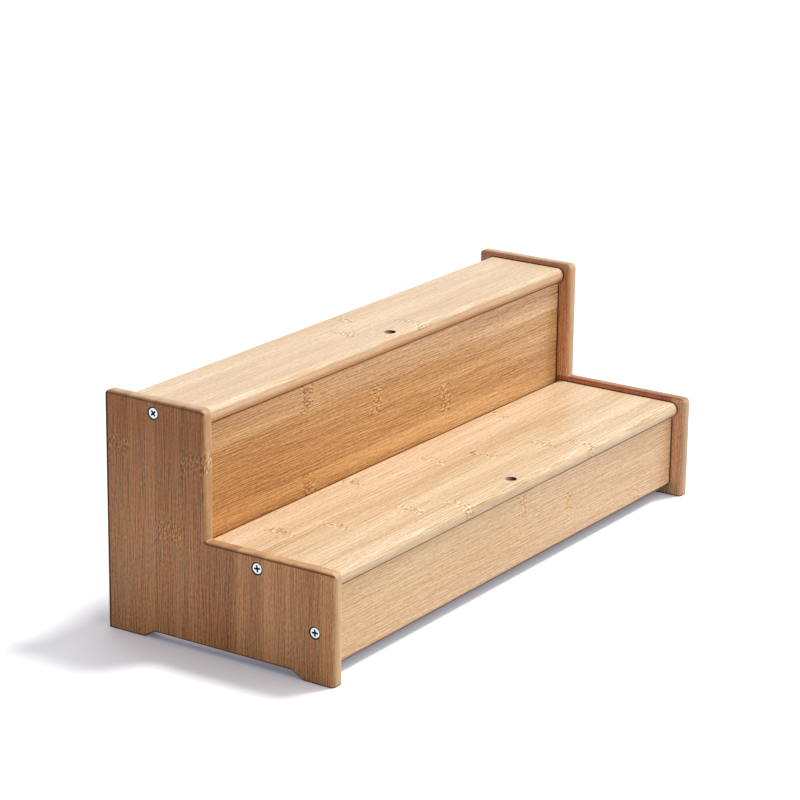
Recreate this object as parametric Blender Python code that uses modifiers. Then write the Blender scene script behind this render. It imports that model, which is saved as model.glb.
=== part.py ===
"""Two-step bamboo rack that shows a tea set on two treads.

Two stepped side panels carry two treads and two risers. Each board end is held at two
points: a countersunk screw and a dowel, or two dowels where no screw shows. One screw at
mid length also ties each tread to its riser, and the upper riser to the lower tread.
Metres, +Z up. The front faces -Y and the origin is on the floor, under the middle.
"""

import math

import bmesh
import bpy
from mathutils import Matrix, Vector

# Side panels: a stepped outline, seen from the side
LENGTH = 0.400            # over the outer faces of both side panels
PANEL_T = 0.009           # panel thickness
PANEL_DEPTH = 0.158       # front edge of the lower step to the back edge
PANEL_HEIGHT = 0.142      # floor to the top edge of the upper step
STEP_DEPTH = 0.088        # front edge of the lower step to that of the upper step
STEP_HEIGHT = 0.066       # floor to the top edge of the lower step
EDGE_ROUND = 0.0020       # rounding along both sides of the outline, all but the sawn bottom
FRONT_CORNER = 0.0035     # outline radius at the two upper front corners
INNER_CORNER = 0.001      # outline radius in the corner between the steps
CORNER_SPARE = 0.0005     # how much the upper back corner exceeds the edge rounding
FOOT_FRONT = 0.020        # length of the front foot on the floor
FOOT_REAR = 0.026         # length of the rear foot on the floor
FOOT_LIFT = 0.0045        # height of the cut between the feet
FOOT_SLANT = 0.008        # run of the slope from a foot up to that cut
FOOT_FILLET = 0.004       # radius where the slopes begin and end

# Treads and risers
TREAD_T = 0.009           # tread thickness, with both long edges full round
RISER_T = 0.009           # riser thickness
TREAD_DROP = 0.003        # panel top edge down to the tread top
NOSE_SET = 0.0046         # panel front edge back to the tip of the nosing
OVERHANG = 0.0036         # tip of a nosing in front of its riser
BACK_SET = 0.0075         # panel back edge forward to the upper tread's rear edge
RISER_LIFT = 0.0055       # floor up to the lower riser's rounded bottom edge

# Countersunk wood screws
SCREW_LENGTH = 0.025
SCREW_HEAD = 0.0062       # head diameter
SCREW_SHANK = 0.0030      # shank diameter
SCREW_RIM = 0.0004        # straight rim of the head above its 45 degree cone
SCREW_TIP = 0.003         # length of the point
RECESS_SPAN = 0.0042      # cross recess, tip to tip
RECESS_WIDTH = 0.0011     # width of one arm
RECESS_DEPTH = 0.0014
RECESS_TAPER = 0.45       # floor of an arm compared with its mouth
HEAD_ROOM = 0.0006        # open ring round a head in its counterbore
SIDE_SINK = 0.0003        # head below the outer face of a panel
TREAD_SINK = 0.0018       # head below the tread top
BACK_SINK = 0.0003        # head below the back of the upper riser
SCREW_BIAS = 0.0015       # end screws of a tread behind its mid line

# Dowels in the board ends
DOWEL_D = 0.004
DOWEL_LENGTH = 0.020
DOWEL_CHAMFER = 0.0005
DOWEL_SKIN = 0.003        # wood left between a dowel hole and the panel's outer face
DOWEL_RELIEF = 0.0005     # room past each end of a dowel

CLEAR = 0.0003            # gap between faces that touch
CUT_PAST = 0.002          # how far a cutter reaches out of the face it opens
ARC_STEP = math.radians(15)
TURN_STEPS = 20
WELD = 0.00001

# Where the boards lie, worked out from the sizes above
FRONT = -PANEL_DEPTH / 2
BACK = PANEL_DEPTH / 2
UPPER_FRONT = FRONT + STEP_DEPTH
BOARD_LENGTH = LENGTH - 2 * PANEL_T - 2 * CLEAR
LOWER_TOP = STEP_HEIGHT - TREAD_DROP
UPPER_TOP = PANEL_HEIGHT - TREAD_DROP
LOWER_NOSE = FRONT + NOSE_SET
UPPER_NOSE = UPPER_FRONT + NOSE_SET
LOWER_RISER = LOWER_NOSE + OVERHANG
UPPER_RISER = UPPER_NOSE + OVERHANG
LOWER_REAR = UPPER_RISER - CLEAR
UPPER_REAR = BACK - BACK_SET

BAMBOO = (0.68, 0.42, 0.21, 1.0)
BAMBOO_SIDE = (0.60, 0.35, 0.17, 1.0)
DOWEL_WOOD = (0.72, 0.55, 0.34, 1.0)
ZINC = (0.74, 0.75, 0.76, 1.0)


def clear_scene():
    for thing in list(bpy.data.objects):
        bpy.data.objects.remove(thing, do_unlink=True)


def new_collection(name):
    collection = bpy.data.collections.new(name)
    bpy.context.scene.collection.children.link(collection)
    return collection


def new_material(name, color, roughness, metallic):
    material = bpy.data.materials.new(name)
    material.use_nodes = True
    shader = material.node_tree.nodes["Principled BSDF"]
    shader.inputs["Base Color"].default_value = color
    shader.inputs["Roughness"].default_value = roughness
    shader.inputs["Metallic"].default_value = metallic
    return material


def fillet(before, corner, after, radius):
    """Points of the arc that rounds one corner of an outline."""
    corner = Vector(corner)
    to_before = (Vector(before) - corner).normalized()
    to_after = (Vector(after) - corner).normalized()
    half = to_before.angle(to_after) / 2
    center = corner + (to_before + to_after).normalized() * (radius / math.sin(half))
    start = corner + to_before * (radius / math.tan(half)) - center
    turn = start.angle_signed(corner + to_after * (radius / math.tan(half)) - center)
    count = max(2, math.ceil(abs(turn) / ARC_STEP))
    points = []
    for index in range(count + 1):
        # angle_signed is clockwise positive, and so is this turn
        angle = -turn * index / count
        points.append(center + Matrix.Rotation(angle, 2) @ start)
    return points


def rounded_outline(corners):
    """Outline through corners given as (y, z, radius), each one rounded."""
    outline = []
    for index, (y, z, radius) in enumerate(corners):
        before = corners[index - 1][:2]
        after = corners[(index + 1) % len(corners)][:2]
        for point in fillet(before, (y, z), after, radius) if radius else [Vector((y, z))]:
            if not outline or (point - outline[-1]).length > WELD:
                outline.append(point)
    if (outline[0] - outline[-1]).length < WELD:
        outline.pop()
    return outline


def mesh_of(source, name):
    """The evaluated shape of an object as a plain welded mesh. The source is removed."""
    bpy.context.view_layer.update()
    depsgraph = bpy.context.evaluated_depsgraph_get()
    mesh = bpy.data.meshes.new_from_object(source.evaluated_get(depsgraph))
    mesh.name = name
    bpy.data.objects.remove(source, do_unlink=True)
    work = bmesh.new()
    work.from_mesh(mesh)
    bmesh.ops.remove_doubles(work, verts=work.verts, dist=WELD)
    bmesh.ops.dissolve_limit(work, angle_limit=math.radians(0.5), verts=work.verts, edges=work.edges)
    work.to_mesh(mesh)
    work.free()
    return mesh


def board_mesh(name, outline, width):
    """A flat outline in depth and height, made into a board of the given width along X."""
    curve = bpy.data.curves.new(name + "_outline", "CURVE")
    curve.dimensions = "2D"
    curve.fill_mode = "BOTH"
    curve.extrude = width / 2
    spline = curve.splines.new("POLY")
    spline.points.add(len(outline) - 1)
    for spot, point in zip(spline.points, outline):
        spot.co = (point.x, point.y, 0, 1)
    spline.use_cyclic_u = True
    drawing = bpy.data.objects.new(name + "_outline", curve)
    bpy.context.scene.collection.objects.link(drawing)
    return mesh_of(drawing, name)


def turned_mesh(name, profile, cutters=()):
    """A profile of (radius, height) points turned about Z, less the cutters given."""
    mesh = bpy.data.meshes.new(name + "_profile")
    edges = [(index, index + 1) for index in range(len(profile) - 1)]
    mesh.from_pydata([(radius, 0, height) for radius, height in profile], edges, [])
    turned = bpy.data.objects.new(name + "_profile", mesh)
    bpy.context.scene.collection.objects.link(turned)
    screw = turned.modifiers.new("turn", "SCREW")
    screw.axis = "Z"
    screw.angle = math.tau
    screw.steps = TURN_STEPS
    screw.render_steps = TURN_STEPS
    screw.use_merge_vertices = True
    screw.merge_threshold = WELD
    for cutter in cutters:
        cut(turned, cutter)
    return mesh_of(turned, name)


def place(name, mesh, collection, material=None, matrix=Matrix(), parent=None):
    thing = bpy.data.objects.new(name, mesh)
    collection.objects.link(thing)
    thing.matrix_world = matrix
    thing.parent = parent
    if material and not mesh.materials:
        mesh.shade_smooth()
        mesh.set_sharp_from_angle(angle=math.radians(35))
        mesh.materials.append(material)
    return thing


def place_cutter(name, mesh, matrix=Matrix()):
    cutter = place(name, mesh, CUTTERS, matrix=matrix)
    cutter.hide_render = True
    cutter.display_type = "WIRE"
    return cutter


def cut(piece, cutter):
    boolean = piece.modifiers.new(cutter.name, "BOOLEAN")
    boolean.operation = "DIFFERENCE"
    boolean.solver = "EXACT"
    boolean.object = cutter


def along_x(x):
    """Puts an outline's (y, z) plane upright at x, with its thickness along X."""
    return Matrix.Translation((x, 0, 0)) @ Matrix(((0, 0, 1, 0), (1, 0, 0, 0), (0, 1, 0, 0), (0, 0, 0, 1)))


def facing(direction, spot, twist=0.0):
    """Stands a turned piece at a spot with its top towards a direction."""
    turn = Vector(direction).to_track_quat("Z", "Y").to_matrix().to_4x4()
    return Matrix.Translation(spot) @ turn @ Matrix.Rotation(math.radians(twist), 4, "Z")


def panel_blank():
    """The stepped outline, left long below the floor until the feet are sawn."""
    below = -EDGE_ROUND - CUT_PAST
    return rounded_outline([
        (FRONT, below, 0),
        (BACK, below, 0),
        (BACK, PANEL_HEIGHT, EDGE_ROUND + CORNER_SPARE),
        (UPPER_FRONT, PANEL_HEIGHT, FRONT_CORNER),
        (UPPER_FRONT, STEP_HEIGHT, INNER_CORNER),
        (FRONT, STEP_HEIGHT, FRONT_CORNER),
    ])


def foot_waste():
    """What is sawn off under a panel: all below the floor and the shallow cut between the feet."""
    below = -EDGE_ROUND - 2 * CUT_PAST
    return rounded_outline([
        (FRONT - CUT_PAST, below, 0),
        (FRONT - CUT_PAST, 0, 0),
        (FRONT + FOOT_FRONT, 0, FOOT_FILLET),
        (FRONT + FOOT_FRONT + FOOT_SLANT, FOOT_LIFT, FOOT_FILLET),
        (BACK - FOOT_REAR - FOOT_SLANT, FOOT_LIFT, FOOT_FILLET),
        (BACK - FOOT_REAR, 0, FOOT_FILLET),
        (BACK + CUT_PAST, 0, 0),
        (BACK + CUT_PAST, below, 0),
    ])


def tread_outline(nose, rear, top):
    nosing = TREAD_T / 2
    bottom = top - TREAD_T
    return rounded_outline([
        (nose, bottom, nosing),
        (rear, bottom, nosing),
        (rear, top, nosing),
        (nose, top, nosing),
    ])


def riser_outline(face, bottom, top, bottom_round):
    return rounded_outline([
        (face, bottom, bottom_round),
        (face + RISER_T, bottom, bottom_round),
        (face + RISER_T, top, 0),
        (face, top, 0),
    ])


def recess_arms():
    """The two crossing arms of the recess in a screw head, as tapered cutters."""
    arms = []
    mouth = RECESS_SPAN / math.sqrt(2)
    for index in range(2):
        work = bmesh.new()
        bmesh.ops.create_cone(
            work, cap_ends=True, segments=4, radius1=mouth * RECESS_TAPER, radius2=mouth, depth=2 * RECESS_DEPTH
        )
        bmesh.ops.rotate(work, verts=work.verts, matrix=Matrix.Rotation(math.radians(45), 3, "Z"))
        bmesh.ops.scale(work, verts=work.verts, vec=(1, RECESS_WIDTH / RECESS_SPAN, 1))
        mesh = bpy.data.meshes.new("recess_arm_%d" % index)
        work.to_mesh(mesh)
        work.free()
        turn = Matrix.Rotation(math.radians(90) * index, 4, "Z")
        arms.append(place_cutter(mesh.name, mesh, turn))
    return arms


def screw_profile(ring, margin, above):
    """Side view of a screw, or of the hole for it when a ring and a margin are given."""
    head = SCREW_HEAD / 2 + ring
    shank = SCREW_SHANK / 2 + margin
    seat = SCREW_RIM + margin * math.sqrt(2) + SCREW_HEAD / 2
    end = SCREW_LENGTH + margin
    return [
        (0, above),
        (head, above),
        (head, head - seat),
        (shank, shank - seat),
        (shank, -end + SCREW_TIP),
        (0, -end),
    ]


def dowel_profile(margin, relief, chamfer):
    radius = DOWEL_D / 2 + margin
    half = DOWEL_LENGTH / 2 + relief
    return [
        (0, half),
        (radius - chamfer, half),
        (radius, half - chamfer),
        (radius, -half + chamfer),
        (radius - chamfer, -half),
        (0, -half),
    ] if chamfer else [(0, half), (radius, half), (radius, -half), (0, -half)]


clear_scene()
RACK = new_collection("tiered_tea_rack")
CUTTERS = new_collection("cutters")
ROOT = bpy.data.objects.new("rack_floor_point", None)
RACK.objects.link(ROOT)

BOARD_WOOD = new_material("bamboo_boards", BAMBOO, 0.45, 0.0)
PANEL_WOOD = new_material("bamboo_panels", BAMBOO_SIDE, 0.45, 0.0)
DOWEL_STOCK = new_material("dowel_wood", DOWEL_WOOD, 0.6, 0.0)
SCREW_METAL = new_material("zinc_screws", ZINC, 0.35, 1.0)

# Boards between the panels
LOWER_UNDER = LOWER_TOP - TREAD_T
UPPER_UNDER = UPPER_TOP - TREAD_T
BOARD_OUTLINES = {
    "lower_tread": tread_outline(LOWER_NOSE, LOWER_REAR, LOWER_TOP),
    "upper_tread": tread_outline(UPPER_NOSE, UPPER_REAR, UPPER_TOP),
    "lower_riser": riser_outline(LOWER_RISER, RISER_LIFT, LOWER_UNDER - CLEAR, RISER_T / 2),
    "upper_riser": riser_outline(UPPER_RISER, LOWER_UNDER, UPPER_UNDER - CLEAR, 0),
}
PIECES = {}
for board_name, board_shape in BOARD_OUTLINES.items():
    PIECES[board_name] = place(
        board_name, board_mesh(board_name, board_shape, BOARD_LENGTH), RACK, BOARD_WOOD, along_x(0), ROOT
    )

# Side panels, rounded over along the outline and then sawn to two feet
for side_name, side in (("left", -1), ("right", 1)):
    panel_name = side_name + "_side_panel"
    upright = along_x(side * (LENGTH - PANEL_T) / 2)
    panel = place(panel_name, board_mesh(panel_name, panel_blank(), PANEL_T), RACK, PANEL_WOOD, upright, ROOT)
    rounding = panel.modifiers.new("edge rounding", "BEVEL")
    rounding.width = EDGE_ROUND
    rounding.segments = 3
    rounding.limit_method = "ANGLE"
    rounding.angle_limit = math.radians(60)
    waste = board_mesh(side_name + "_foot_waste", foot_waste(), PANEL_T + 2 * CUT_PAST)
    cut(panel, place_cutter(waste.name, waste, upright))
    PIECES[panel_name] = panel

SCREW_MESH = turned_mesh("screw", screw_profile(0, 0, 0), recess_arms())
DOWEL_MESH = turned_mesh("dowel", dowel_profile(0, 0, DOWEL_CHAMFER))
DOWEL_HOLE = turned_mesh("dowel_hole", dowel_profile(CLEAR, DOWEL_RELIEF, 0))


def fit_screw(name, spot, direction, sink, twist, boards):
    """One screw with its head a little below the face at a spot, and its hole through the boards."""
    seat = Vector(spot) - Vector(direction) * sink
    hole = turned_mesh(name + "_hole", screw_profile(HEAD_ROOM, CLEAR, sink + CUT_PAST))
    cutter = place_cutter(name + "_hole", hole, facing(direction, seat))
    for board in boards:
        cut(PIECES[board], cutter)
    place(name, SCREW_MESH, RACK, SCREW_METAL, facing(direction, seat, twist), ROOT)


def fit_dowel(name, spot, side, boards):
    """One dowel along X, let into a panel and into a board end."""
    inner_end = side * (LENGTH / 2 - DOWEL_SKIN - DOWEL_RELIEF)
    middle = (inner_end - side * DOWEL_LENGTH / 2, spot[0], spot[1])
    cutter = place_cutter(name + "_hole", DOWEL_HOLE, facing((1, 0, 0), middle))
    for board in boards:
        cut(PIECES[board], cutter)
    place(name, DOWEL_MESH, RACK, DOWEL_STOCK, facing((1, 0, 0), middle), ROOT)


def share(start, end, part):
    return start + (end - start) * part


# Fixings in the ends of the boards: (y, z) of each, and the turn of each screw's cross
LOWER_TREAD_MID = LOWER_TOP - TREAD_T / 2
UPPER_TREAD_MID = UPPER_TOP - TREAD_T / 2
LOWER_RISER_MID = LOWER_RISER + RISER_T / 2
UPPER_RISER_MID = UPPER_RISER + RISER_T / 2
END_SCREWS = {
    "upper_tread": ((UPPER_NOSE + UPPER_REAR) / 2 + SCREW_BIAS, UPPER_TREAD_MID, 40),
    "lower_tread": ((LOWER_NOSE + LOWER_REAR) / 2 + SCREW_BIAS, LOWER_TREAD_MID, 15),
    "lower_riser": (LOWER_RISER_MID, (RISER_LIFT + LOWER_UNDER) / 2, 5),
}
END_DOWELS = {
    "upper_tread": [(share(UPPER_NOSE, UPPER_REAR, 3 / 4), UPPER_TREAD_MID)],
    "lower_tread": [(share(LOWER_NOSE, LOWER_REAR, 3 / 4), LOWER_TREAD_MID)],
    "lower_riser": [(LOWER_RISER_MID, share(RISER_LIFT, LOWER_UNDER, 3 / 4))],
    "upper_riser": [
        (UPPER_RISER_MID, share(LOWER_UNDER, UPPER_UNDER, 1 / 4)),
        (UPPER_RISER_MID, share(LOWER_UNDER, UPPER_UNDER, 3 / 4)),
    ],
}
for side_name, side in (("left", -1), ("right", 1)):
    panel_name = side_name + "_side_panel"
    for board_name, (y, z, twist) in END_SCREWS.items():
        outside = (side * LENGTH / 2, y, z)
        fit_screw(
            "screw_%s_%s" % (side_name, board_name), outside, (side, 0, 0), SIDE_SINK, twist, (panel_name, board_name)
        )
    for board_name, spots in END_DOWELS.items():
        for number, spot in enumerate(spots, 1):
            fit_dowel("dowel_%s_%s_%d" % (side_name, board_name, number), spot, side, (panel_name, board_name))

# Screws at mid length: down through each tread into its riser, and from behind into the lower tread
fit_screw(
    "screw_top_lower_tread", (0, LOWER_RISER_MID, LOWER_TOP), (0, 0, 1), TREAD_SINK, 30, ("lower_tread", "lower_riser")
)
fit_screw(
    "screw_top_upper_tread", (0, UPPER_RISER_MID, UPPER_TOP), (0, 0, 1), TREAD_SINK, 10, ("upper_tread", "upper_riser")
)
fit_screw(
    "screw_back_upper_riser",
    (0, UPPER_RISER + RISER_T, LOWER_TREAD_MID),
    (0, 1, 0),
    BACK_SINK,
    20,
    ("upper_riser", "lower_tread"),
)
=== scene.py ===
"""A two-step bamboo rack for a tea set: its finished boards, screws and dowels, set round the solids."""

import math

import bmesh
import bpy
from mathutils import Matrix, Vector


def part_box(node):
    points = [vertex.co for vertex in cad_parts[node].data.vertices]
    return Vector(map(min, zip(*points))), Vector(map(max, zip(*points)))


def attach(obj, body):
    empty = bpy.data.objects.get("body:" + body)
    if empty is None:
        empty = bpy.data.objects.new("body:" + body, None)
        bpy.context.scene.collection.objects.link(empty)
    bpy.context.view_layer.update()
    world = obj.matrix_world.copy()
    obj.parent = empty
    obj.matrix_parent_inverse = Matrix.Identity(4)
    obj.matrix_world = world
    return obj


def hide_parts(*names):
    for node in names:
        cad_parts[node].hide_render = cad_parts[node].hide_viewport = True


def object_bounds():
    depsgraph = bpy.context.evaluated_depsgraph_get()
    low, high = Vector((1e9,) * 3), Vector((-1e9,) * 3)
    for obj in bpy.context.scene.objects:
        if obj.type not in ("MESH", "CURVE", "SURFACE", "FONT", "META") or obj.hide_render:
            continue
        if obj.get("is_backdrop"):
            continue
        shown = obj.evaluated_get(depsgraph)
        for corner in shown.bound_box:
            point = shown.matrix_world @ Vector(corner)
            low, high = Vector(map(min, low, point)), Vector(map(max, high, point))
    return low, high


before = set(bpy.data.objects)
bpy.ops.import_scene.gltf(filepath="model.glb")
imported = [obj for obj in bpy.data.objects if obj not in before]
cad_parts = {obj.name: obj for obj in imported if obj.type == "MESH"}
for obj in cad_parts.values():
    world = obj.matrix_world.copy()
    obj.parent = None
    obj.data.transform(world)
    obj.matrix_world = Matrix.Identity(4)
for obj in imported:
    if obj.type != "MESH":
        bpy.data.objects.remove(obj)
cad_low, cad_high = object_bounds()

# Side panels. Each is a 9 mm board glued up from upright bamboo strips, sawn to a stepped outline
# and rounded over along its edges. The feet are sawn last, so their edges stay crisp. It is drilled
# for the screws and dowels that go into the ends of the treads and risers.
step_depth = 0.088
step_height = 0.066
edge_round = 0.0022
front_corner = 0.0035
inner_corner = 0.001
back_corner = 0.0025
front_foot = 0.020
rear_foot = 0.026
foot_lift = 0.0045
foot_slant = 0.008
foot_fillet = 0.004
sawn_arris = 0.0003
saw_past = 0.002
edge_steps = 8
fillet_steps = 7
arris_steps = 2
shade_angle = 35
hair = 0.00001


def rough_block(name, low, high):
    """A cube brought to its size and place, left open in edit mode."""
    bpy.ops.object.select_all(action="DESELECT")
    bpy.ops.mesh.primitive_cube_add(size=1, location=(low + high) / 2)
    block = bpy.context.object
    block.name = name
    block.scale = high - low
    bpy.ops.object.transform_apply()
    bpy.ops.object.mode_set(mode="EDIT")
    return block


def pick(kind, test):
    """Selects only the faces, edges or points of the open piece that pass a test."""
    bpy.ops.mesh.select_mode(type=kind)
    bpy.ops.mesh.select_all(action="DESELECT")
    shape = bmesh.from_edit_mesh(bpy.context.object.data)
    for part in {"FACE": shape.faces, "EDGE": shape.edges, "VERT": shape.verts}[kind]:
        if test(part):
            part.select_set(True)
    bmesh.update_edit_mesh(bpy.context.object.data)


def saw(spot, direction):
    """Marks a cut line round the open piece where a plane crosses it."""
    bpy.ops.mesh.select_all(action="SELECT")
    bpy.ops.mesh.bisect(plane_co=spot, plane_no=direction)


def runs_at(edge, y, z):
    """True for an edge along X at that depth and height."""
    return all(abs(end.co.y - y) < hair and abs(end.co.z - z) < hair for end in edge.verts)


def rims_a_side(edge):
    """True for an edge where a face that looks along X ends."""
    return sum(abs(face.normal.x) > 0.9 for face in edge.link_faces) == 1


def round_over(test, radius, steps):
    """Rounds the edges of the open piece that pass a test."""
    pick("EDGE", test)
    bpy.ops.mesh.bevel(offset=radius, segments=steps, affect="EDGES", clamp_overlap=False)


def merge_flats():
    """Takes out the lines that cross a flat face of the open piece."""
    bpy.ops.mesh.select_all(action="SELECT")
    bpy.ops.mesh.dissolve_limited(angle_limit=math.radians(1))


def close_up():
    """Leaves edit mode with doubles merged and every face pointing out."""
    bpy.ops.mesh.select_all(action="SELECT")
    bpy.ops.mesh.remove_doubles(threshold=hair / 10)
    bpy.ops.mesh.normals_make_consistent(inside=False)
    bpy.ops.object.mode_set(mode="OBJECT")


def take_away(piece, cutter):
    """Cuts one closed piece out of another and removes the cutter."""
    bpy.context.view_layer.objects.active = piece
    cut = piece.modifiers.new("cut", "BOOLEAN")
    cut.object = cutter
    bpy.ops.object.modifier_apply(modifier=cut.name)
    bpy.data.objects.remove(cutter)


def turned(name, profile, sides):
    """A round piece on Z: a disc drawn down through each (radius, height) of its profile."""
    bpy.ops.object.select_all(action="DESELECT")
    radius, height = profile[0]
    top = (0, 0, height)
    bpy.ops.mesh.primitive_circle_add(vertices=sides, radius=radius, fill_type="NGON", location=top)
    piece = bpy.context.object
    piece.name = name
    bpy.ops.object.transform_apply()
    bpy.ops.object.mode_set(mode="EDIT")
    for next_radius, next_height in profile[1:]:
        bpy.ops.mesh.extrude_region_move(TRANSFORM_OT_translate={"value": (0, 0, next_height - height)})
        spread = next_radius / radius
        bpy.ops.transform.resize(value=(spread, spread, 1), center_override=(0, 0, next_height))
        radius, height = next_radius, next_height
    close_up()
    return piece


def set_down(piece, matrix):
    """Moves a finished piece to its place and keeps that place in its mesh."""
    piece.matrix_world = matrix
    bpy.ops.object.select_all(action="DESELECT")
    piece.select_set(True)
    bpy.context.view_layer.objects.active = piece
    bpy.ops.object.transform_apply()


def facing(direction, spot, twist=0.0):
    """Stands a turned piece at a spot with its top towards a direction."""
    stand = direction.to_track_quat("Z", "Y").to_matrix().to_4x4()
    return Matrix.Translation(spot) @ stand @ Matrix.Rotation(math.radians(twist), 4, "Z")


screw_head = 0.0031
screw_shank = 0.0015
screw_rim = 0.0004
head_room = 0.0006
hole_mouth = screw_head + head_room
hole_margin = 0.0003
drill_past = 0.004
screw_hole_sides = 48
dowel_hole_sides = 32
head_ways = {
    "left": Vector((-1, 0, 0)),
    "right": Vector((1, 0, 0)),
    "top": Vector((0, 0, 1)),
    "back": Vector((0, 1, 0)),
}


def screw_seat(node):
    """The middle of a screw's head and the way it faces, from its box and its name."""
    low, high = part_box(node)
    way = head_ways[node.split("_")[1]]
    reach = abs(way.dot(high - low))
    return (low + high) / 2 + way * reach / 2, way, reach


def sunk_screws(node):
    """The head's middle and facing of each screw that is sunk in a board."""
    low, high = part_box(node)
    seats = [screw_seat(other)[:2] for other in sorted(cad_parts) if other.startswith("screw")]
    return [(seat, way) for seat, way in seats if all(low[i] < seat[i] < high[i] for i in range(3))]


def hole_for(node):
    """A cutter in the shape of the hole for one screw or dowel."""
    if node.startswith("screw"):
        seat, way, reach = screw_seat(node)
        bore = screw_shank + hole_margin
        seat_line = screw_rim + hole_margin * math.sqrt(2) + screw_head
        profile = [
            (hole_mouth, drill_past),
            (hole_mouth, hole_mouth - seat_line),
            (bore, bore - seat_line),
            (bore, -reach - hole_margin),
        ]
        cutter = turned("hole", profile, screw_hole_sides)
        set_down(cutter, facing(way, seat))
        return cutter
    low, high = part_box(node)
    half = (high.x - low.x) / 2 + hole_margin
    bore = (high.z - low.z) / 2 + hole_margin
    cutter = turned("hole", [(bore, half), (bore, -half)], dowel_hole_sides)
    set_down(cutter, facing(Vector((1, 0, 0)), (low + high) / 2))
    return cutter


def drill(piece, node):
    """Drills a board for every screw and dowel whose box meets that of its solid."""
    low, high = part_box(node)
    for other in sorted(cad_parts):
        near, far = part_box(other)
        meets = all(near[axis] < high[axis] and far[axis] > low[axis] for axis in range(3))
        if meets and other.startswith(("screw", "dowel")):
            take_away(piece, hole_for(other))


def smooth(piece, angle):
    """Shades a piece smooth over its roundings and flat on its faces."""
    bpy.ops.object.select_all(action="DESELECT")
    piece.select_set(True)
    bpy.context.view_layer.objects.active = piece
    bpy.ops.object.shade_smooth_by_angle(angle=math.radians(angle))
    even = piece.modifiers.new("even", "WEIGHTED_NORMAL")
    even.keep_sharp = True
    bpy.ops.object.modifier_apply(modifier=even.name)


def foot_waste(low, high):
    """What the saw takes off under a panel: all below the floor, and the shallow cut between the feet."""
    past = Vector((saw_past, saw_past, edge_round + 2 * saw_past))
    floor_low = Vector((low.x, low.y, 0)) - past
    floor_high = Vector((high.x + saw_past, high.y + saw_past, 0))
    waste = rough_block("foot_waste", floor_low, floor_high)
    lines = (
        (low.y + front_foot, 0),
        (low.y + front_foot + foot_slant, foot_lift),
        (high.y - rear_foot - foot_slant, foot_lift),
        (high.y - rear_foot, 0),
    )
    for y, z in lines:
        saw((0, y, 0), (0, 1, 0))
    for y, z in lines[1:3]:
        pick("EDGE", lambda edge: runs_at(edge, y, 0))
        bpy.ops.transform.translate(value=(0, 0, foot_lift))
    merge_flats()
    slope = math.atan2(foot_lift, foot_slant)
    for y, z in lines:
        round_over(lambda edge: runs_at(edge, y, z), foot_fillet * math.tan(slope / 2), fillet_steps)
    close_up()
    return waste


def rims_the_bottom(edge):
    """True for an edge where a sawn face that looks down ends."""
    return sum(face.normal.z < -0.7 for face in edge.link_faces) == 1


def stepped_panel(name, node):
    """Saws one side panel to its outline, rounds it over, saws its feet and drills it."""
    low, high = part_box(node)
    step_front = low.y + step_depth
    below = -edge_round - saw_past
    panel = rough_block(name, Vector((low.x, low.y, below)), Vector((high.x, high.y, step_height)))
    saw((0, step_front, 0), (0, 1, 0))
    pick("FACE", lambda face: face.normal.z > 0.9 and face.calc_center_median().y > step_front)
    bpy.ops.mesh.extrude_region_move(TRANSFORM_OT_translate={"value": (0, 0, high.z - step_height)})
    merge_flats()
    for y, z, reach in (
        (high.y, high.z, back_corner),
        (low.y, step_height, front_corner),
        (step_front, high.z, front_corner),
        (step_front, step_height, inner_corner),
    ):
        round_over(lambda edge: runs_at(edge, y, z), reach, edge_steps)
    round_over(rims_a_side, edge_round, edge_steps)
    close_up()
    take_away(panel, foot_waste(low, high))
    bpy.ops.object.mode_set(mode="EDIT")
    round_over(rims_the_bottom, sawn_arris, arris_steps)
    close_up()
    drill(panel, node)
    smooth(panel, shade_angle)
    return panel


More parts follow.
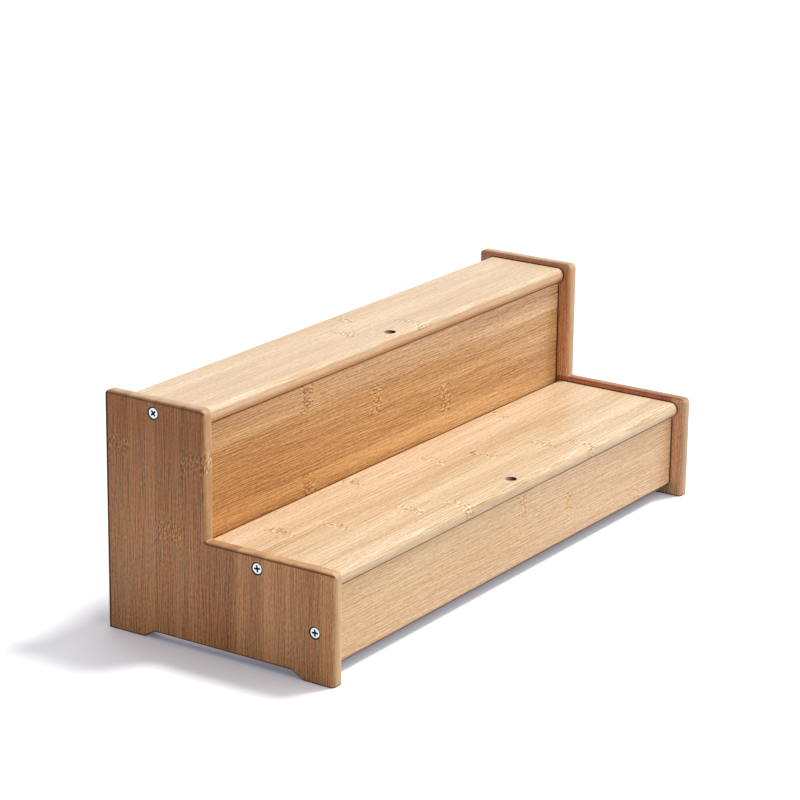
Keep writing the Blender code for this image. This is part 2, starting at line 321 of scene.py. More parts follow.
class Shade:
    """A socket of a finish. Sums on it add Math nodes, and node() adds a node of any other kind."""

    def __init__(self, tree, socket):
        self.tree = tree
        self.socket = socket

    def node(self, kind, settings, inputs, output=0):
        """One output of a new node. Settings are set first, and stops are those of a stepped ramp."""
        made = self.tree.nodes.new(kind)
        for key, value in settings.items():
            if key == "stops":
                made.color_ramp.interpolation = "CONSTANT"
                for number, (place, level) in enumerate(value):
                    stop = made.color_ramp.elements[0] if number == 0 else made.color_ramp.elements.new(place)
                    stop.position = place
                    stop.color = (level, level, level, 1)
                made.color_ramp.elements.remove(made.color_ramp.elements[-1])
            else:
                setattr(made, key, value)
        for key, value in inputs.items():
            if isinstance(value, Shade):
                self.tree.links.new(value.socket, made.inputs[key])
            else:
                made.inputs[key].default_value = value
        return Shade(self.tree, made.outputs[output])

    def math(self, operation, *values):
        """A Math node on the given values."""
        return self.node("ShaderNodeMath", {"operation": operation}, dict(enumerate(values)))

    def __add__(self, other):
        return self.math("ADD", self, other)

    def __sub__(self, other):
        return self.math("SUBTRACT", self, other)

    def __rsub__(self, other):
        return self.math("SUBTRACT", other, self)

    def __mul__(self, other):
        return self.math("MULTIPLY", self, other)

    def __truediv__(self, other):
        return self.math("DIVIDE", self, other)

    __radd__ = __add__
    __rmul__ = __mul__

    def size(self):
        """This number without its sign."""
        return self.math("ABSOLUTE", self)

    def held(self, low=0.0, high=1.0):
        """This number kept between two limits."""
        return self.math("MINIMUM", self.math("MAXIMUM", self, low), high)

    def rise(self, start, end):
        """Nothing up to the start and all from the end on, also where the end is the lower of the two."""
        return ((self - start) / (end - start)).held()

    def over(self, other):
        """The larger of two numbers."""
        return self.math("MAXIMUM", self, other)

    def split(self):
        """The three numbers of a vector."""
        return [self.node("ShaderNodeSeparateXYZ", {}, {"Vector": self}, axis) for axis in range(3)]

    def noise(self, detail):
        """Noise at this place, from 0 to 1."""
        settings = {"noise_dimensions": "3D"}
        return self.node("ShaderNodeTexNoise", settings, {"Vector": self, "Scale": 1, "Detail": detail})

    def between(self, low, high):
        """The colour that lies this far from one colour to another."""
        settings = {"data_type": "RGBA", "clamp_factor": False}
        return self.node("ShaderNodeMix", settings, {0: self, 6: low, 7: high}, 2)

    def tinted(self, amount, color):
        """This colour mixed towards another one."""
        return self.node("ShaderNodeMix", {"data_type": "RGBA"}, {0: amount, 6: self, 7: color}, 2)

    def stained(self, amount, color):
        """This colour multiplied by another one."""
        settings = {"data_type": "RGBA", "blend_type": "MULTIPLY"}
        return self.node("ShaderNodeMix", settings, {0: amount, 6: self, 7: color}, 2)


def new_finish(name):
    """A material, its surface shader, and the place on the piece as a vector and as three numbers."""
    finish = bpy.data.materials.new(name)
    finish.use_nodes = True
    tree = finish.node_tree
    surface = tree.nodes["Principled BSDF"]
    spot = Shade(tree, tree.nodes.new("ShaderNodeTexCoord").outputs["Object"])
    return finish, surface, spot, spot.split()


def wire(surface, name, shade):
    """Feeds a shade into a socket of a surface."""
    shade.tree.links.new(shade.socket, surface.inputs[name])


board_span = 0.5
strip_width = 0.0187
seam_reach = 0.00035
# Burn of the drilled wood and painted shade in the screw holes: a dark ring round each head and dark walls.
scorch_and_shade = (0.016, 0.010, 0.008, 1)
scorch_and_shade_reach = 0.00005
scorch_and_shade_fade = 0.0002
scorch_and_shade_depth = 0.003
hole_shade_lean = 0.00385
lacquer_rough = 0.40
lacquer_shine = 0.4
bump_height = 0.00005
# Repeats in a metre, along and across the fibres
knuckle_waves = (130, 330)
fine_lines = (62, 1750)
middle_lines = (42, 900)
short_dashes = (480, 1250)
broad_streaks = (12, 260)
soft_clouds = (6, 100)
small_pores = (300, 1700)


class Strips:
    """The grain of one board: glued strips side by side, each with its tone and up to two knuckles."""

    def __init__(self, places, along, across, first_edge, strips, fibres):
        self.a, self.c = places[along], places[across]
        self.t = places[3 - along - across]
        lane = (self.c - first_edge) / strip_width
        self.number = lane.math("FLOOR", lane)
        self.inside = lane - self.number
        self.key = (self.number + 0.5) / len(strips)
        self.tone = self.by_strip([0.5 + strip[0] / 2 for strip in strips])
        self.slip = self.tone * 31 + self.number * 7.7
        self.side = self.c
        wave = self.stretched(*knuckle_waves).noise(1)
        band = None
        ridge = None
        for rank in (1, 2):
            levels = [0.0 if strip[rank] is None else strip[rank] / board_span + 0.5 for strip in strips]
            place = (self.by_strip(levels) - 0.5) * board_span
            bow = (self.inside - 0.5) * (self.inside - 0.5) * fibres["bow"]
            off = (self.a - place + bow + (wave - 0.5) * fibres["ragged"]).size()
            near = off.rise(fibres["reach"], fibres["reach"] / 2)
            line = off.rise(fibres["ridge"], 0)
            band = near if band is None else band.over(near)
            ridge = line if ridge is None else ridge.over(line)
        self.band = band
        self.ridge = ridge
        self.side = self.c + (wave - 0.5) * band * fibres["swerve"]
        stroke = self.stretched(fibres["along"], fibres["across"]).noise(1)
        self.dark = stroke.rise(0.54, 0.64) * band
        self.light = stroke.rise(0.48, 0.38) * band
        from_seam = (0.5 - (self.inside - 0.5).size()) * strip_width
        self.seam = from_seam.rise(seam_reach, 0)

    def by_strip(self, levels):
        """A number that is looked up by the strip."""
        stops = [(index / len(levels), level) for index, level in enumerate(levels)]
        return self.key.node("ShaderNodeValToRGB", {"stops": stops}, {"Fac": self.key})

    def stretched(self, along, across, shift=0.0):
        """Places drawn out along the fibres, shifted from strip to strip."""
        parts = {0: self.a * along + self.slip, 1: self.side * across + shift, 2: self.t * across}
        return self.a.node("ShaderNodeCombineXYZ", {}, parts)

    def lines(self, along, across):
        """Fine lines along the fibres: noise less the same noise one line further, so no broad waves stay."""
        return (self.stretched(along, across).noise(0) - self.stretched(along, across, 0.9).noise(0)) * 3


def no_crown(places):
    """A board whose faces are flat."""
    return 0


def bamboo(name, node, along, across, first_edge, strips, colors, fibres, coats, crown=no_crown):
    """Glued bamboo under a satin lacquer. Coats tint it by face or place, many with painted light and shade,
    and screw holes get a burnt ring with painted shade in them.
    """
    finish, surface, spot, places = new_finish(name)
    grain = Strips(places, along, across, first_edge, strips, fibres)
    normal = spot.node("ShaderNodeNewGeometry", {}, {}, 1).split()
    calm = (0.35 + normal[3 - along - across].size() * 0.65) * (1 - normal[along].size() * 0.6)
    fine = grain.lines(*fine_lines).held(-1, 1) * calm
    middle = grain.lines(*middle_lines).held(-1, 1) * calm
    dash = (grain.stretched(*short_dashes, 0.4).noise(0) - 0.5) * calm
    streak = (grain.stretched(*broad_streaks).noise(1) - 0.5) * calm
    cloud = grain.stretched(*soft_clouds).noise(1) - 0.5
    pores = grain.stretched(*small_pores).noise(0).rise(0.55, 0.75) * calm

    pale, deep, fleck = colors
    bright = (pale[0] * 1.1, pale[1] * 1.3, pale[2] * 1.4, 1)
    broad = (grain.tone - 0.5) * 0.8 + streak * 0.3 + cloud * 1.35
    level = 0.52 + broad + fine * fibres["lines"] + middle * 0.3 + dash * fibres["dashes"]
    color = level.held(-0.7, 1.5).between(deep, pale)
    color = color.stained(grain.band * 0.7, fibres["stain"])
    marks = grain.dark * fibres["dots"] + grain.ridge * 0.25 + grain.seam * 0.35 + pores * 0.3
    color = color.tinted(marks.held(), fleck)
    color = color.tinted(grain.light * fibres["dots"], bright)
    rough = lacquer_rough + fine * 0.03 + grain.dark * 0.1
    for amount, stain, matt in coats(places, normal):
        color = color.stained(amount, stain)
        rough = rough + amount * matt
    # Each sunk screw: a burnt ring round its head and painted shade down its hole.
    for seat, way in sunk_screws(node):
        flat = [axis for axis in range(3) if abs(way[axis]) < 0.5]
        off = [places[axis] - seat[axis] for axis in flat]
        away = spot.math("SQRT", off[0] * off[0] + off[1] * off[1])
        depth = sum((places[axis] - seat[axis]) * way[axis] for axis in range(3))
        scorch_and_shade_edge = hole_mouth + scorch_and_shade_reach
        near = away.rise(scorch_and_shade_edge + scorch_and_shade_fade, scorch_and_shade_edge)
        shallow = depth.rise(-scorch_and_shade_depth, hair - scorch_and_shade_depth)
        # Painted shade: the tread holes are darker towards one side.
        shaded_side = (off[0] - off[1]).rise(-hole_shade_lean, hole_shade_lean) if way.z else 1.0
        color = color.tinted(near * shallow * shaded_side, scorch_and_shade)
    wire(surface, "Base Color", color)
    wire(surface, "Roughness", rough.held())
    height = fine * 0.15 + streak * 0.3 - pores * 0.3 - grain.dark * 0.6 - grain.seam * 0.7
    height = height + crown(places) * (1 / bump_height)
    bump = height.node("ShaderNodeBump", {}, {"Height": height, "Strength": 1.0, "Distance": bump_height})
    wire(surface, "Normal", bump)
    surface.inputs["Specular IOR Level"].default_value = lacquer_shine
    return finish


def fit(piece, node, finish):
    """Gives a piece its finish and lets it stand for the solid of the same board."""
    piece.data.materials.clear()
    piece.data.materials.append(finish)
    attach(piece, "root")
    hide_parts(node)


left_panel_colors = ((0.964, 0.471, 0.203, 1), (0.532, 0.209, 0.0736, 1), (0.20, 0.075, 0.028, 1))
right_panel_colors = ((0.90, 0.430, 0.182, 1), (0.60, 0.252, 0.097, 1), (0.24, 0.090, 0.034, 1))
panel_fibres = {
    "reach": 0.0080,
    "ridge": 0.0004,
    "bow": 0.008,
    "ragged": 0.006,
    "swerve": 0.0016,
    "along": 420,
    "across": 1050,
    "lines": 0.50,
    "dashes": 1.2,
    "dots": 0.85,
    "stain": (1.06, 0.97, 0.85, 1),
}
# Painted light: the edges are toned paler and less red than the faces, as lit edges look beside faces in
# shade, more so on the upper part.
lit_edge_tone = (0.78, 1.01, 1.24, 1)
upper_lit_edge_tone = (1.12, 1.10, 1.04, 1)
end_grain_stain = (0.50, 0.505, 0.51, 1)
# Painted highlight: the upper tops and the left panel's lower top are made paler, as the light falls on them.
upper_top_highlight = (1.37, 1.77, 2.30, 1)
left_top_highlight = (1.44, 1.70, 2.0, 1)
# Painted shade: a dark line along the outer rounding of the edges, browner on the lower part.
arris_shade = (0.46, 0.43, 0.41, 1)
lower_arris_shade = (0.70, 0.45, 0.25, 1)
# Painted shadow: a dark line along the bottom of the panel over its sawn feet, where it meets the floor.
sawn_edge_shadow = (0.30, 0.26, 0.24, 1)
# Painted light: the inner faces are toned paler and bluer, to look as they are lit.
inner_face_light = (1.11, 1.33, 1.92, 1)
# Painted shade: the strip of inner face just above each tread is made darker and redder.
lip_shade = (0.70, 0.46, 0.47, 1)
# The upper part of each panel is made darker and redder towards the top, less so on the inner faces.
upper_face_darkening = (0.68, 0.57, 0.42, 1)
# Painted shade: the outer rounding of the rear edge is made dark and less glossy.
rear_shade = (0.16, 0.14, 0.13, 1)
# Painted shade: a dark line on the inner faces round each board end that butts against the panel.
joint_shade = (0.20, 0.16, 0.14, 1)
joint_reach = 0.0006
joint_core = 0.000225
lip_middle = 0.0015
lip_half = 0.0022
lip_start = 0.004
upper_start = 0.065
upper_end = 0.130
inner_reach = 0.0019
outer_arris = 0.0016
rear_reach = 0.0028
sawn_reach = 0.0011
soft = 0.0005
edge_fade = 0.0004
rear_fade = 0.0006
crown_bend = 0.0095


def joint_line(places, node):
    """How close a place on a panel is to the outline of a board end that butts against it."""
    low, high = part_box(node)
    middle = (low + high) / 2
    corner = min(high.y - low.y, high.z - low.z) / 2
    y = ((places[1] - middle.y).size() - (high.y - low.y) / 2 + corner).over(0)
    z = ((places[2] - middle.z).size() - (high.z - low.z) / 2 + corner).over(0)
    away = y.math("SQRT", y * y + z * z) - corner
    return away.rise(joint_reach, joint_core)


def lip_over(places, node, rear):
    """The narrow strip of a panel's inner face that stands above a tread, as far back as it is open."""
    low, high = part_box(node)
    lift = (places[2] - high.z - lip_middle).size()
    start = low.y + lip_start
    open_part = places[1].rise(start, start + 4 * soft) * places[1].rise(rear, rear - soft)
    return lift.rise(lip_half, lip_half - soft) * open_part


def panel_coats(places, normal):
    """Tones by face and place: edges painted paler as lit edges look, tops their end grain with painted
    highlights on some, upper faces darker, inner faces a paler painted tone with a red painted shade over the
    treads, and painted shade on the arrises, the rear arris, the joints and the sawn feet.
    """
    low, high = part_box("right_side_panel")
    aside = places[0].size()
    left = places[0].rise(0, -2 * soft)
    upper = places[2].rise(upper_start, upper_end)
    up = normal[2].rise(0.6, 0.8)
    edge = normal[0].size().rise(0.8, 0.4)
    outer = aside.rise(high.x - edge_round, high.x - edge_round + edge_fade)
    inner = aside.rise(low.x + inner_reach, low.x + inner_reach - 2 * soft)
    arris = (normal[2] - 0.56 + upper * 0.14).size().rise(0.28, 0.08) * outer
    rear = aside.rise(high.x - outer_arris, high.x - outer_arris + edge_fade) * (1 - up)
    rear = rear * places[1].rise(high.y - rear_reach, high.y - rear_reach + rear_fade)
    lip = lip_over(places, "lower_tread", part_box("upper_riser")[0].y)
    lip = lip.over(lip_over(places, "upper_tread", high.y) * 0.3)
    joint = joint_line(places, "lower_tread").over(joint_line(places, "upper_tread"))
    joint = joint.over(joint_line(places, "lower_riser")).over(joint_line(places, "upper_riser"))
    front = low.y + front_foot
    back = high.y - rear_foot
    cut = places[1].rise(front, front + foot_slant) * places[1].rise(back, back - foot_slant) * foot_lift
    sawn = (places[2] - cut).rise(sawn_reach, sawn_reach - soft)
    # Most of these coats are painted light and shade: the lit edge tones, the top highlights, the inner face
    # tone, and the shade over the treads, on the arrises, the rear arris, the joints and the sawn feet.
    return [
        (edge * (1 - up), lit_edge_tone, 0),
        (edge * (1 - up) * upper, upper_lit_edge_tone, 0),
        (up, end_grain_stain, 0),
        (up * upper, upper_top_highlight, 0),
        (up * left * (1 - upper), left_top_highlight, 0),
        (upper * (1 - edge) * (1 - inner * 0.4), upper_face_darkening, 0),
        (arris, arris_shade, 0),
        (arris * (1 - upper), lower_arris_shade, 0),
        (inner * (1 - up), inner_face_light, 0),
        (inner * lip, lip_shade, 0),
        (rear, rear_shade, 0.5),
        (joint * inner, joint_shade, 0.2),
        (sawn, sawn_edge_shadow, 0.2),
    ]


def panel_crown(places):
    """The edges are sanded slightly round over their whole width."""
    low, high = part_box("right_side_panel")
    aside = places[0].size() - (low.x + high.x) / 2
    return aside * aside * (-0.5 / crown_bend)


# The strips from front to back, each with its tone and the heights of its knuckles
panel_first_edge = -0.0876
left_strips = (
    (0.4, None, None),
    (-0.1, None, None),
    (0.7, None, None),
    (0.2, None, None),
    (-0.8, None, None),
    (-0.3, 0.1115, None),
    (-0.1, 0.067, None),
    (0.2, None, None),
    (-0.2, 0.1133, None),
)
right_strips = (
    (0.0, None, None),
    (0.2, 0.031, None),
    (-0.2, None, None),
    (0.1, 0.052, None),
    (0.3, None, None),
    (-0.3, None, None),
    (0.0, 0.095, None),
    (-0.3, 0.041, None),
    (0.2, None, None),
)
for side, strips, colors in (
    ("left", left_strips, left_panel_colors),
    ("right", right_strips, right_panel_colors),
):
    node = side + "_side_panel"
    panel = stepped_panel(side + "_panel", node)
    name = "bamboo_%s_panel" % side
    finish = bamboo(
        name, node, 2, 1, panel_first_edge, strips, colors, panel_fibres, panel_coats, panel_crown
    )
    fit(panel, node, finish)

# Treads. Two 9 mm bamboo boards with the strips running lengthways and both long edges fully round.
# They sit between the panels on screws and dowels, a little below the panels' top edges, and the
# lower one butts against the upper riser.
board_arris = 0.0006
end_steps = 3
nose_flat = 0.0002
nose_steps = 12
# End grain darkened: partly its own colour, partly painted shade in the joint at the panels.
end_grain_and_joint_shade = (0.10, 0.09, 0.08, 1)
end_fade = 0.0002
# Painted light: the underside of the lower nosing is made paler.
nosing_underside_light = (1.36, 1.29, 1.34, 1)
# Painted shade: the lower half of the upper nosing is made darker and warmer.
upper_nosing_shade = (1.14, 0.90, 0.70, 1)
# Painted highlight along the crest of the upper nosing.
crest_highlight = (1.11, 1.15, 1.17, 1)
tread_fibres = {
    "reach": 0.0055,
    "ridge": 0.0005,
    "bow": 0.008,
    "ragged": 0.005,
    "swerve": 0.0024,
    "along": 380,
    "across": 1150,
    "lines": 0.60,
    "dashes": 0.8,
    "dots": 0.7,
    "stain": (0.95, 0.85, 0.68, 1),
}


def board_coats(places, normal):
    """The end grain soaks up the lacquer and dries dark, and the same dark stands for painted shade in the
    joint against a panel.
    """
    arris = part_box("lower_tread")[1].x - board_arris
    return [(places[0].size().rise(arris - end_fade, arris), end_grain_and_joint_shade, 0.2)]


def lower_tread_coats(places, normal):
    """The underside of the lower nosing is painted paler, as light off the floor would make it."""
    return [(normal[2].rise(0.2, -0.71), nosing_underside_light, 0)] + board_coats(places, normal)


def upper_tread_coats(places, normal):
    """The upper nosing gets a painted highlight along its crest and painted shade, darker and warmer, below.
    """
    crest = normal[1].rise(0, -0.25) * normal[2].rise(0.4, 0.733)
    below = normal[2].rise(0.5, -0.333)
    return [(crest, crest_highlight, 0), (below, upper_nosing_shade, 0)] + board_coats(places, normal)


def nosed_tread(name, node):
    """One tread, cut to length with eased ends and rounded at its long edges."""
    low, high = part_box(node)
    tread = rough_block(name, low, high)
    nosing = (high.z - low.z - nose_flat) / 2
    edges = [(y, z) for y in (low.y, high.y) for z in (low.z, high.z)]
    round_over(lambda edge: any(runs_at(edge, y, z) for y, z in edges), nosing, nose_steps)
    round_over(rims_a_side, board_arris, end_steps)
    close_up()
    drill(tread, node)
    smooth(tread, shade_angle)
    return tread


lower_tread_colors = ((0.86, 0.67, 0.47, 1), (0.62, 0.42, 0.225, 1), (0.34, 0.15, 0.06, 1))
upper_tread_colors = ((0.755, 0.57, 0.392, 1), (0.60, 0.397, 0.223, 1), (0.35, 0.17, 0.08, 1))
# The strips from front to back, each with its tone and the places of its knuckles along X
lower_tread_strips = (
    (-0.2, -0.056, 0.084),
    (0.0, -0.0797, 0.0702),
    (-0.4, -0.1273, 0.0302),
    (0.0, -0.1535, 0.0027),
    (0.2, -0.0597, 0.1027),
)
upper_tread_strips = (
    (0.0, None, None),
    (0.0, 0.0265, None),
    (0.1, -0.0185, None),
    (0.0, 0.0053, None),
    (0.0, None, None),
)
for node, strips, first_edge, colors, coats in (
    ("lower_tread", lower_tread_strips, -0.0758, lower_tread_colors, lower_tread_coats),
    ("upper_tread", upper_tread_strips, -0.00465, upper_tread_colors, upper_tread_coats),
):
    tread = nosed_tread(node + "_board", node)
    finish = bamboo("bamboo_" + node, node, 0, 1, first_edge, strips, colors, tread_fibres, coats)
    fit(tread, node, finish)

# Risers. Two 9 mm bamboo boards on edge under the treads' nosings, with the strips running
# lengthways. The lower one has a full round bottom edge just off the floor, and the upper one
# stands behind the lower tread. Screws come down into both through the treads.
upper_riser_fibres = {
    "reach": 0.0085,
    "ridge": 0.0004,
    "bow": 0.008,
    "ragged": 0.006,
    "swerve": 0.0016,
    "along": 400,
    "across": 1000,
    "lines": 0.65,
    "dashes": 0.9,
    "dots": 0.8,
    "stain": (1.04, 0.92, 0.72, 1),
}
lower_riser_fibres = dict(upper_riser_fibres, reach=0.0060, lines=0.75, dashes=0.9, dots=0.5)
# Painted shade: dark lines where the risers meet the treads, under the nosings and at the upper riser's foot.
groove_shade = (0.38, 0.32, 0.30, 1)
nosing_groove = 0.0011
foot_groove = 0.0007
foot_drop = 0.0018
# Painted shade: below its top band the upper riser is made darker and warmer, as light bounced off the lower
# tread would tint it.
warm_lower_shade = (0.92, 0.84, 0.65, 1)
lit_top_band = 0.0157
lit_band_fade = 0.004
# Painted light: the risers are made paler towards the right, where the light is stronger.
upper_riser_right_light = (1.15, 1.36, 1.87, 1)
lower_riser_right_light = (1.06, 1.08, 1.16, 1)
# Painted shade along the underside of the lower riser's round bottom.
underside_shade = (0.16, 0.13, 0.13, 1)


def grooved(places, height, reach):
    """A painted shade line where a riser meets a tread."""
    return (places[2] - height).size().rise(reach, reach / 2), groove_shade, 0.2


def lower_riser_coats(places, normal):
    """The lower riser is painted slightly paler towards the right, with painted shade in its groove and along
    its underside.
    """
    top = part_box("lower_riser")[1].z
    paler = places[0].rise(cad_low.x, cad_high.x), lower_riser_right_light, 0
    under = normal[2].rise(-0.2, -0.45), underside_shade, 0.2
    return [paler, under, grooved(places, top, nosing_groove)] + board_coats(places, normal)


def upper_riser_coats(places, normal):
    """The upper riser is painted paler to the right and darker and warmer below its top band, with painted
    shade lines at top and foot.
    """
    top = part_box("upper_riser")[1].z
    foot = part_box("lower_tread")[1].z
    lit_band_foot = top - lit_top_band
    paler = places[0].rise(cad_low.x, cad_high.x), upper_riser_right_light, 0
    warm_shade = places[2].rise(lit_band_foot, lit_band_foot - lit_band_fade), warm_lower_shade, 0
    top_line = grooved(places, top, nosing_groove)
    foot_line = grooved(places, foot - foot_drop, foot_groove)
    return [paler, warm_shade, top_line, foot_line] + board_coats(places, normal)


def riser_board(name, node, round_bottom):
    """One riser, cut to length with eased ends."""
    low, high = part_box(node)
    riser = rough_block(name, low, high)
    if round_bottom:
        nosing = (high.y - low.y - nose_flat) / 2
        round_over(lambda edge: any(runs_at(edge, y, low.z) for y in (low.y, high.y)), nosing, nose_steps)
    round_over(rims_a_side, board_arris, end_steps)
    close_up()
    drill(riser, node)
    smooth(riser, shade_angle)
    return riser


lower_riser_colors = ((0.90, 0.627, 0.373, 1), (0.73, 0.435, 0.212, 1), (0.38, 0.17, 0.06, 1))
upper_riser_colors = ((0.735, 0.416, 0.175, 1), (0.460, 0.208, 0.069, 1), (0.22, 0.08, 0.03, 1))
# The strips from the bottom up, each with its tone and the places of its knuckles along X
lower_riser_strips = (
    (0.0, 0.1456, None),
    (-0.1, 0.0621, None),
    (0.1, 0.0084, None),
)
upper_riser_strips = (
    (0.0, None, None),
    (0.4, -0.0885, None),
    (-0.4, 0.0565, None),
    (-0.2, -0.0198, None),
    (0.3, -0.0905, None),
)
for node, strips, first_edge, round_bottom, colors, fibres, coats in (
    ("lower_riser", lower_riser_strips, 0.0007, True,
     lower_riser_colors, lower_riser_fibres, lower_riser_coats),
    ("upper_riser", upper_riser_strips, 0.0372, False,
     upper_riser_colors, upper_riser_fibres, upper_riser_coats),
):
    riser = riser_board(node + "_board", node, round_bottom)
    finish = bamboo("bamboo_" + node, node, 0, 2, first_edge, strips, colors, fibres, coats)
    fit(riser, node, finish)

# Dowels. Short turned beech pins with pressed flutes and chamfered ends, glued half into a panel
# and half into a board end. They don't show once the rack is together.
dowel_sides = 32
flute_margin = 0.000075
flute_depth = 0.00012
flute_angle = 40
dowel_chamfer = 0.0005
beech_grain = (120, 1600, 1600)
beech_deep = (0.60, 0.40, 0.22, 1)
beech_pale = (0.80, 0.62, 0.40, 1)


def beech():
    """Bare beech, with its fibres drawn out along the dowel."""
    finish, surface, spot, places = new_finish("beech_dowel")
    fibre = spot.node("ShaderNodeVectorMath", {"operation": "MULTIPLY"}, {0: spot, 1: beech_grain}).noise(3)
    wire(surface, "Base Color", fibre.between(beech_deep, beech_pale))
    wire(surface, "Roughness", 0.55 + fibre * 0.2)
    return finish


def fluted_dowel(name, length, radius):
    """One dowel on Z, with flutes pressed into every other side and its ends chamfered."""
    dowel = turned(name, [(radius, length / 2), (radius, -length / 2)], dowel_sides)
    bpy.ops.object.mode_set(mode="EDIT")
    round_over(lambda edge: abs(edge.verts[0].co.z - edge.verts[1].co.z) < hair, dowel_chamfer, 1)

    def is_flute(face):
        middle = face.calc_center_median()
        turn = math.atan2(middle.y, middle.x) / math.tau * dowel_sides
        return abs(face.normal.z) < 0.1 and math.floor(turn) % 2 == 0

    pick("FACE", is_flute)
    bpy.ops.mesh.inset(thickness=flute_margin, depth=-flute_depth, use_individual=True)
    close_up()
    return dowel


dowel_finish = beech()
dowel_nodes = sorted(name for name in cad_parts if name.startswith("dowel"))
low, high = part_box(dowel_nodes[0])
pattern = fluted_dowel("dowel_pattern", high.x - low.x, (high.z - low.z) / 2)
for node in dowel_nodes:
    low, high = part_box(node)
    dowel = pattern.copy()
    dowel.data = pattern.data.copy()
    dowel.name = "fluted_" + node
    bpy.context.scene.collection.objects.link(dowel)
    set_down(dowel, facing(Vector((1, 0, 0)), (low + high) / 2))
    smooth(dowel, flute_angle)
    fit(dowel, node, dowel_finish)
bpy.data.objects.remove(pattern)

# Screws. Countersunk wood screws, 3 by 25 mm, zinc plated, with a cross recess and a coarse
# thread. Their heads sit below the face: three in each panel, one near the front of each tread,
# and one behind the upper riser.
recess_span = 0.0052
recess_width = 0.0015
recess_depth = 0.0016
recess_taper = 0.55
thread_pitch = 0.00135
thread_lift = 0.0004
thread_root = 0.8
thread_flank = (1.0, 0.6, 0.25)
thread_rings = 8
tip_length = 0.003
tip_share = 0.1
neck_length = 0.001
head_crown = ((0.0004, 0), (0.0001, 0.00006), (0, 0.0002))
screw_sides = 24


def cut_recess(screw):
    """Cuts the tapered cross into a head, one arm at a time."""
    half = Vector((recess_span / 2, recess_width / 2, recess_depth))
    for turn in (0, 90):
        arm = rough_block("recess_arm", -half, half)
        pick("FACE", lambda face: face.normal.z < -0.9)
        bpy.ops.transform.resize(value=(recess_taper, recess_taper, 1), center_override=(0, 0, -recess_depth))
        close_up()
        set_down(arm, Matrix.Rotation(math.radians(turn), 4, "Z"))
        take_away(screw, arm)


def wood_screw(name, length):
    """One screw on Z with its head at the top: turned, threaded by a twist, and recessed."""
    neck = -screw_rim - (screw_head - screw_shank)
    start = neck - neck_length
    end = tip_length - length
    head = [(screw_head - inset, -drop) for inset, drop in head_crown]
    shank = [
        (screw_head, -screw_rim),
        (screw_shank, neck),
        (screw_shank * thread_root, start),
        (screw_shank * thread_root, end),
        (screw_shank * tip_share, -length),
    ]
    screw = turned(name, head + shank, screw_sides)
    bpy.ops.object.mode_set(mode="EDIT")
    for step in (0, 1, 2, -1, -2):
        turn = math.tau * step / screw_sides
        way = Vector((math.cos(turn), math.sin(turn), 0))

        def on_thread(point):
            return end - hair < point.co.z < start + hair and point.co.xy.angle(way.xy) < 0.01

        pick("VERT", on_thread)
        bpy.ops.transform.translate(value=way * thread_lift * thread_flank[abs(step)])
    rings = round((start - end) / thread_pitch * thread_rings)
    pick("EDGE", lambda edge: abs(edge.verts[0].co.z - edge.verts[1].co.z) > (start - end) * 0.9)
    bpy.ops.mesh.subdivide(number_cuts=rings)
    close_up()
    twist = screw.modifiers.new("thread", "SIMPLE_DEFORM")
    twist.deform_method = "TWIST"
    twist.deform_axis = "Z"
    twist.limits = (0.0, (start + length) / length)
    twist.angle = -math.tau * (start + length) / thread_pitch
    bpy.context.view_layer.objects.active = screw
    bpy.ops.object.modifier_apply(modifier=twist.name)
    cut_recess(screw)
    kept = screw.data.attributes.new("turned_place", "FLOAT_VECTOR", "POINT")
    for point, place in zip(screw.data.vertices, kept.data):
        place.vector = point.co
    return screw


zinc_dull = (0.42, 0.49, 0.56, 1)
zinc_bright = (0.92, 0.93, 0.94, 1)
# Grime and painted shade: dark in the cross recess and in a thin ring round the head's rim.
grime_and_shade = (0.014, 0.050, 0.054, 1)
plating_clouds = (900, 900, 900)
ring_scale = 9000
grime_and_shade_edge = 0.0006
grime_and_shade_fade = 0.0002
rim_width = 0.00015
rim_fade = 0.0001


def zinc():
    """Bright plating: faint turning rings on the head, and grime with painted shade in the recess and round
    the rim.
    """
    finish, surface, spot, places = new_finish("zinc_plating")
    own = spot.node("ShaderNodeAttribute", {"attribute_name": "turned_place"}, {}, 1)
    x, y, z = own.split()
    radius = x.math("SQRT", x * x + y * y)
    rings = radius.math("SINE", radius * ring_scale)
    cloud = own.node("ShaderNodeVectorMath", {"operation": "MULTIPLY"}, {0: own, 1: plating_clouds}).noise(2)
    grime_and_shade_start = screw_head - grime_and_shade_edge
    recessed = z.rise(0, -rim_fade) * radius.rise(grime_and_shade_start, grime_and_shade_start - grime_and_shade_fade)
    rim = radius.rise(screw_head - rim_width, screw_head - rim_width + rim_fade)
    color = cloud.between(zinc_dull, zinc_bright)
    wire(surface, "Base Color", color.tinted(recessed.over(rim), grime_and_shade))
    wire(surface, "Roughness", 0.24 + cloud * 0.14 + rings * 0.03)
    surface.inputs["Metallic"].default_value = 1.0
    return finish


screw_finish = zinc()
screw_turns = {
    "screw_left_upper_tread": 40,
    "screw_left_lower_tread": 8,
    "screw_left_lower_riser": 3,
    "screw_right_upper_tread": 25,
    "screw_right_lower_tread": 60,
    "screw_right_lower_riser": 80,
    "screw_top_lower_tread": 30,
    "screw_top_upper_tread": 10,
    "screw_back_upper_riser": 20,
}
length = screw_seat("screw_left_upper_tread")[2]
pattern = wood_screw("screw_pattern", length)
for node, twist in screw_turns.items():
    seat, way, reach = screw_seat(node)
    screw = pattern.copy()
    screw.data = pattern.data.copy()
    screw.name = "zinc_" + node
    bpy.context.scene.collection.objects.link(screw)
    set_down(screw, facing(way, seat, twist))
    smooth(screw, shade_angle)
    fit(screw, node, screw_finish)
bpy.data.objects.remove(pattern)

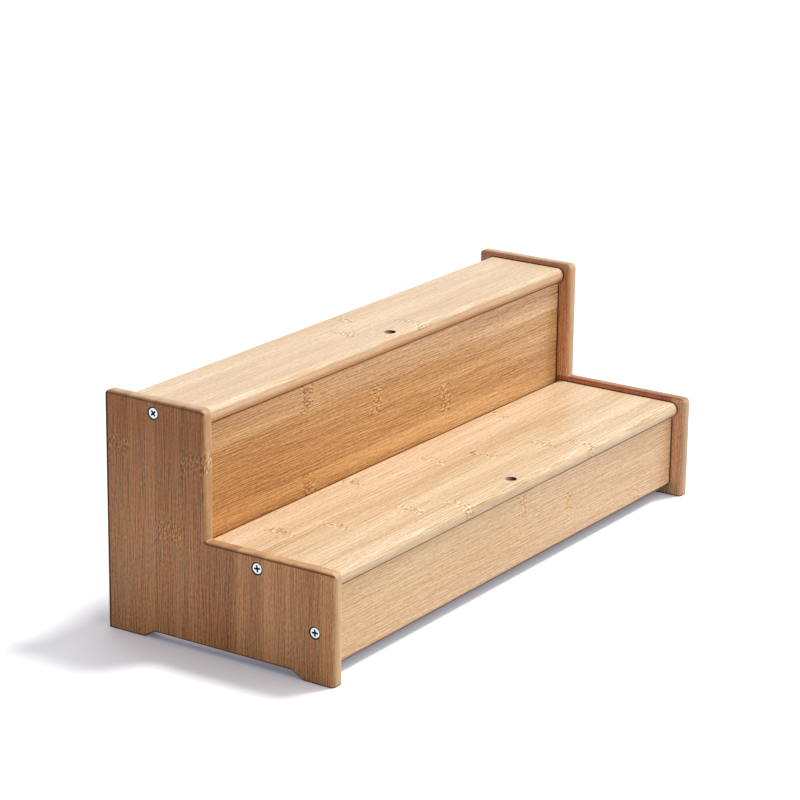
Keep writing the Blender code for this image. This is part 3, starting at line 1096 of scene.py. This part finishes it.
# Studio. A white floor that keeps the rack's shadow, a lamp from the right and above, wide soft lamps
# from the front and from behind, a white surround that gives most from above, and a long lens a
# little above the rack's front left corner.
lamps = {
    "side_lamp": (Vector((0.423, -0.205, 0.883)), 12, 2.0),
    "front_lamp": (Vector((0.20, -0.78, 0.60)), 70, 1.4),
    "rear_lamp": (Vector((0.60, 0.50, 0.62)), 60, 0.9),
}
floor_half = 20.0
floor_seen = 1.0
floor_glow = (0.085, 0.095, 0.135, 1)
floor_bounce = 0.42
surround_glow = 0.11
surround_lift = 0.22
surround_lean = 0.03
ray_kinds = ("Camera", "Glossy", "Transmission")
lens = 130.089
camera_spot = (-1.38982, -0.91743, 0.61963)
camera_turn = (72.6618, -0.6428, -55.9824)

scene = bpy.context.scene
scene.view_settings.view_transform = "Standard"


def looked_at(tree):
    """One for rays that come straight from the camera or off a shiny or clear surface."""
    rays = tree.nodes.new("ShaderNodeLightPath")
    seen, glossy, clear = [Shade(tree, rays.outputs["Is %s Ray" % kind]) for kind in ray_kinds]
    return seen.over(glossy).over(clear)


bpy.ops.object.select_all(action="DESELECT")
bpy.ops.mesh.primitive_plane_add(size=2 * floor_half)
floor = bpy.context.object
floor.name = "floor"
paper, paper_surface, spot, places = new_finish("white_floor")
direct = looked_at(paper.node_tree)
wire(paper_surface, "Base Color", floor_bounce + direct * (floor_seen - floor_bounce))
wire(paper_surface, "Emission Color", direct.between((0, 0, 0, 1), floor_glow))
paper_surface.inputs["Emission Strength"].default_value = 1.0
paper_surface.inputs["Roughness"].default_value = 0.9
paper_surface.inputs["Specular IOR Level"].default_value = 0.0
floor.data.materials.append(paper)
floor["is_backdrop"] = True

for name, (toward, softness, strength) in lamps.items():
    lamp_data = bpy.data.lights.new(name, "SUN")
    lamp_data.energy = strength
    lamp_data.angle = math.radians(softness)
    lamp = bpy.data.objects.new(name, lamp_data)
    lamp.rotation_euler = toward.to_track_quat("Z", "Y").to_euler()
    lamp.visible_glossy = name != "rear_lamp"
    scene.collection.objects.link(lamp)

world = bpy.data.worlds.new("white_surround")
world.use_nodes = True
scene.world = world
sky = world.node_tree
surround = sky.nodes["Background"]
surround.inputs["Color"].default_value = (1, 1, 1, 1)
x, y, z = Shade(sky, sky.nodes.new("ShaderNodeTexCoord").outputs["Generated"]).split()
glow = (surround_glow + z * surround_lift + x * surround_lean - y * surround_lean).held()
direct = looked_at(sky)
wire(surround, "Strength", glow + direct * (1 - glow))

camera_data = bpy.data.cameras.new("front_left_camera")
camera_data.lens = lens
camera = bpy.data.objects.new("front_left_camera", camera_data)
camera.location = camera_spot
camera.rotation_euler = [math.radians(angle) for angle in camera_turn]
scene.collection.objects.link(camera)
scene.camera = camera

# The box of the finished rack, beside that of the solids taken at the start
low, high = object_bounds()
